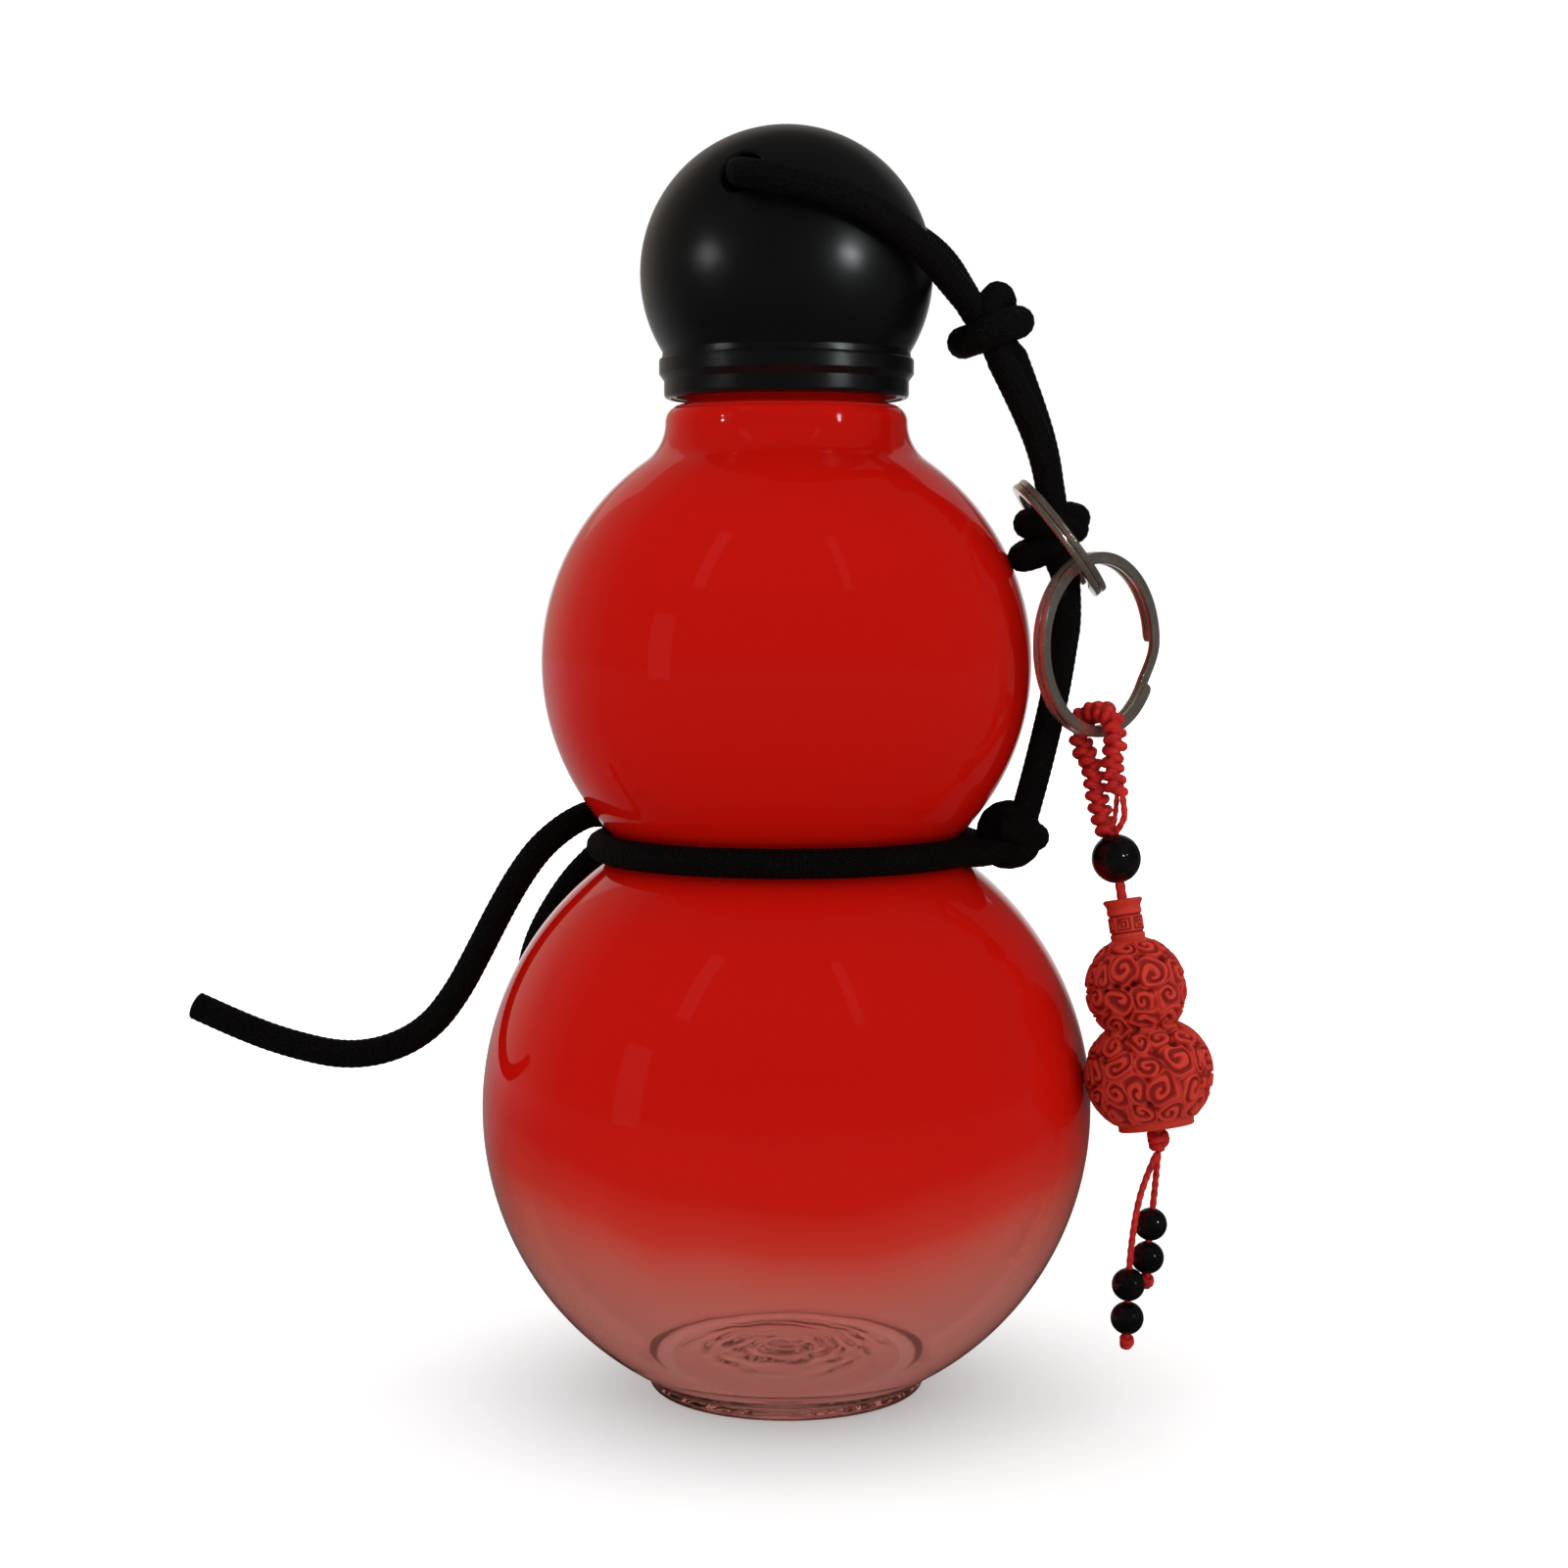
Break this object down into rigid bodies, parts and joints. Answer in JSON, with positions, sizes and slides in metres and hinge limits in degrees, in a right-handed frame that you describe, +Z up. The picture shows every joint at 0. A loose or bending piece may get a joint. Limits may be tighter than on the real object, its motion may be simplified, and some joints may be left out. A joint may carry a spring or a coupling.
{
  "type": "gourd water bottle",
  "caption": "Blown glass bottle shaped as a double gourd, with a ball-shaped screw cap, a knotted carrying cord round cap and waist, and a gourd charm on split rings.",
  "frame": {"origin": "centre of the foot ring, on the surface that the bottle stands on", "axes": "+Z up along the bottle's axis, +X towards the charm, -Y towards the front"},
  "size_m": [0.1763, 0.1062, 0.2186],
  "materials": {
    "red_glass": "smooth, transparent, tinted red over clear",
    "black_cap": "satin black",
    "pale_liner": "moulded",
    "seal": "smooth",
    "cord": "braided",
    "ring_metal": "polished, warm grey",
    "red_thread": "knotted thread",
    "black_bead": "polished",
    "carved_red": "carved and polished"
  },
  "bodies": {
    "bottle": {"bottle_glass": "red_glass"},
    "harness": {"waist_knot": "cord", "waist_loop_front": "cord", "waist_loop_back": "cord", "tie_knot": "cord", "long_tail": "cord", "short_tail": "cord", "lower_strand_front": "cord", "lower_strand_back": "cord"},
    "tether": {"ring_knot": "cord", "upper_strand_front": "cord", "upper_strand_back": "cord"},
    "cap": {"cap_shell": "black_cap", "cap_thread_insert": "pale_liner", "cap_gasket": "seal", "cap_bore_cord": "cord", "cap_strand_front": "cord", "cap_strand_back": "cord", "cap_knot": "cord"},
    "small_split_ring": {"link_ring": "ring_metal"},
    "large_split_ring": {"key_ring": "ring_metal"},
    "charm": {"charm_braid": "red_thread", "charm_side_thread": "red_thread", "charm_thread": "red_thread", "pendant_stop_knot": "red_thread"},
    "bead": {"charm_bead": "black_bead"},
    "pendant": {"gourd_pendant": "carved_red"},
    "long_bead_string": {"long_string": "red_thread", "long_string_upper_bead": "black_bead", "long_string_lower_bead": "black_bead", "long_string_knot": "red_thread"},
    "short_bead_string": {"short_string": "red_thread", "short_string_upper_bead": "black_bead", "short_string_lower_bead": "black_bead", "short_string_knot": "red_thread"}
  },
  "joints": [
    {"name": "cap_turn", "type": "hinge", "parent": "bottle", "child": "harness", "pos_m": [0, 0, 0.1838], "axis": [0, 0, 1], "range_deg": [0, 720]},
    {"name": "tether_rise", "type": "slide", "parent": "harness", "child": "tether", "axis": [0, 0, 1], "range_m": [0, 0.006], "deforming": ["lower_strand_front", "lower_strand_back"]},
    {"name": "cap_rise", "type": "slide", "parent": "tether", "child": "cap", "axis": [0, 0, 1], "range_m": [0, 0.006], "deforming": ["upper_strand_front", "upper_strand_back"]},
    {"name": "small_ring_swing", "type": "hinge", "parent": "tether", "child": "small_split_ring", "pos_m": [0.0452, -0.0061, 0.1491], "axis": [0, -1, 0], "range_deg": [0, 20]},
    {"name": "large_ring_swing", "type": "hinge", "parent": "small_split_ring", "child": "large_split_ring", "pos_m": [0.0529, -0.009, 0.1438], "axis": [-0.7132, -0.7009, 0], "range_deg": [0, 25]},
    {"name": "charm_swing", "type": "hinge", "parent": "large_split_ring", "child": "charm", "pos_m": [0.0529, -0.009, 0.11555], "axis": [-0.7132, -0.7009, 0], "range_deg": [0, 60]},
    {"name": "bead_spin", "type": "hinge", "parent": "charm", "child": "bead", "pos_m": [0.05599, -0.01214, 0.0941], "axis": [-0.1409, 0.1434, 0.9796], "continuous": true},
    {"name": "pendant_spin", "type": "hinge", "parent": "charm", "child": "pendant", "pos_m": [0.05971, -0.01593, 0.06824], "axis": [-0.1409, 0.1434, 0.9796], "continuous": true},
    {"name": "long_string_swing", "type": "hinge", "parent": "charm", "child": "long_bead_string", "pos_m": [0.06272, -0.019, 0.04727], "axis": [-1, 0, 0], "range_deg": [0, 50]},
    {"name": "short_string_swing", "type": "hinge", "parent": "charm", "child": "short_bead_string", "pos_m": [0.06272, -0.019, 0.04727], "axis": [1, 0, 0], "range_deg": [0, 50]}
  ],
  "couplings": [
    {"joint": "cap_turn", "follows": "tether_rise", "rad_per_m": 2094.4},
    {"joint": "cap_rise", "follows": "tether_rise", "ratio": 1}
  ]
}
